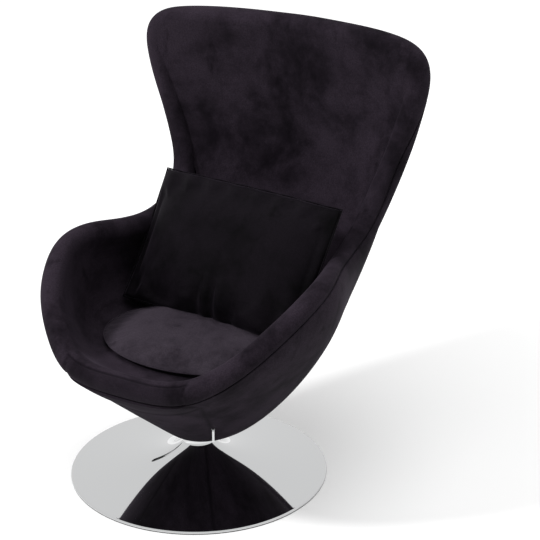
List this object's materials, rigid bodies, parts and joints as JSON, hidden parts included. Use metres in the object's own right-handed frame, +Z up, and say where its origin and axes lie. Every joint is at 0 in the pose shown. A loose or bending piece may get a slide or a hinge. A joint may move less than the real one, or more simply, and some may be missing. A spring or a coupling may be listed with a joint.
{
  "type": "pod chair",
  "caption": "Egg-shaped upholstered pod chair with high winged back, oval seat pad and loose lumbar cushion, on a swivelling, lifting gas column with a trumpet base.",
  "frame": {"origin": "on the floor under the centre of the column, at the middle of the base's underside", "axes": "+Z up along the column, -Y out of the chair's open front, +X towards the sitter's left"},
  "size_m": [0.6697, 0.6942, 0.8883],
  "materials": {
    "velvet": "short-pile velvet, charcoal, with a brushed nap",
    "cushion_velvet": "shinier short-pile velvet, near black",
    "moulded_plastic": "moulded plastic shell",
    "plywood": "birch plywood",
    "black_steel": "black powder-coated steel",
    "zinc_steel": "zinc-plated steel",
    "bright_metal": "polished metal",
    "chrome": "polished chrome plate",
    "black_plastic": "black plastic",
    "rubber": "black rubber"
  },
  "bodies": {
    "base": {"trumpet_base": "chrome", "base_plate": "black_steel", "ballast_plate": "black_steel", "foot_disc": "rubber", "column_tube": "black_steel", "guide_bush": "black_plastic", "neck_ring": "black_plastic", "lower_race": "zinc_steel", "bearing_cage": "zinc_steel"},
    "rod": {"piston_rod": "chrome", "rod_clip": "zinc_steel", "upper_race": "zinc_steel", "rubber_buffer": "rubber"},
    "seat": {"cover_front": "velvet", "cover_under": "velvet", "cover_back": "velvet", "moulded_shell": "moulded_plastic", "board_ledge": "moulded_plastic", "rim_roll": "velvet", "inner_padding": "velvet", "seat_pad": "velvet", "seat_board": "plywood", "tee_nuts": "zinc_steel", "mechanism_frame": "black_steel", "mechanism_bolts": "zinc_steel", "bolt_washers": "zinc_steel", "taper_socket": "black_steel", "gas_cylinder": "black_steel", "lever_pin": "zinc_steel", "zip_slider": "bright_metal"},
    "lever": {"lever_rod": "chrome", "lever_hub": "black_plastic", "lever_cap": "black_plastic"},
    "button": {"release_button": "zinc_steel"},
    "cushion": {"lumbar_cushion": "cushion_velvet"},
    "puller": {"zip_puller": "bright_metal"}
  },
  "joints": [
    {"name": "seat_swivel", "type": "hinge", "parent": "base", "child": "rod", "pos_m": [0, 0, 0.1], "axis": [0, 0, 1], "continuous": true},
    {"name": "seat_lift", "type": "slide", "parent": "rod", "child": "seat", "axis": [0, 0, 1], "range_m": [0, 0.06]},
    {"name": "lift_lever", "type": "hinge", "parent": "seat", "child": "lever", "pos_m": [-0.028, 0, 0.2041], "axis": [0, 1, 0], "range_deg": [0, 5]},
    {"name": "valve_button", "type": "slide", "parent": "seat", "child": "button", "axis": [0, 0, -1], "range_m": [0, 0.0024]},
    {"name": "cushion_lift", "type": "slide", "parent": "seat", "child": "cushion", "axis": [0, -0.6, 0.8], "range_m": [0, 0.25]},
    {"name": "zip_puller_swing", "type": "hinge", "parent": "seat", "child": "puller", "pos_m": [0.10241, -0.10325, 0.16087], "axis": [-0.7742, -0.6329, 0], "range_deg": [0, 75]}
  ],
  "couplings": [
    {"joint": "valve_button", "follows": "lift_lever", "m_per_rad": 0.0275}
  ]
}
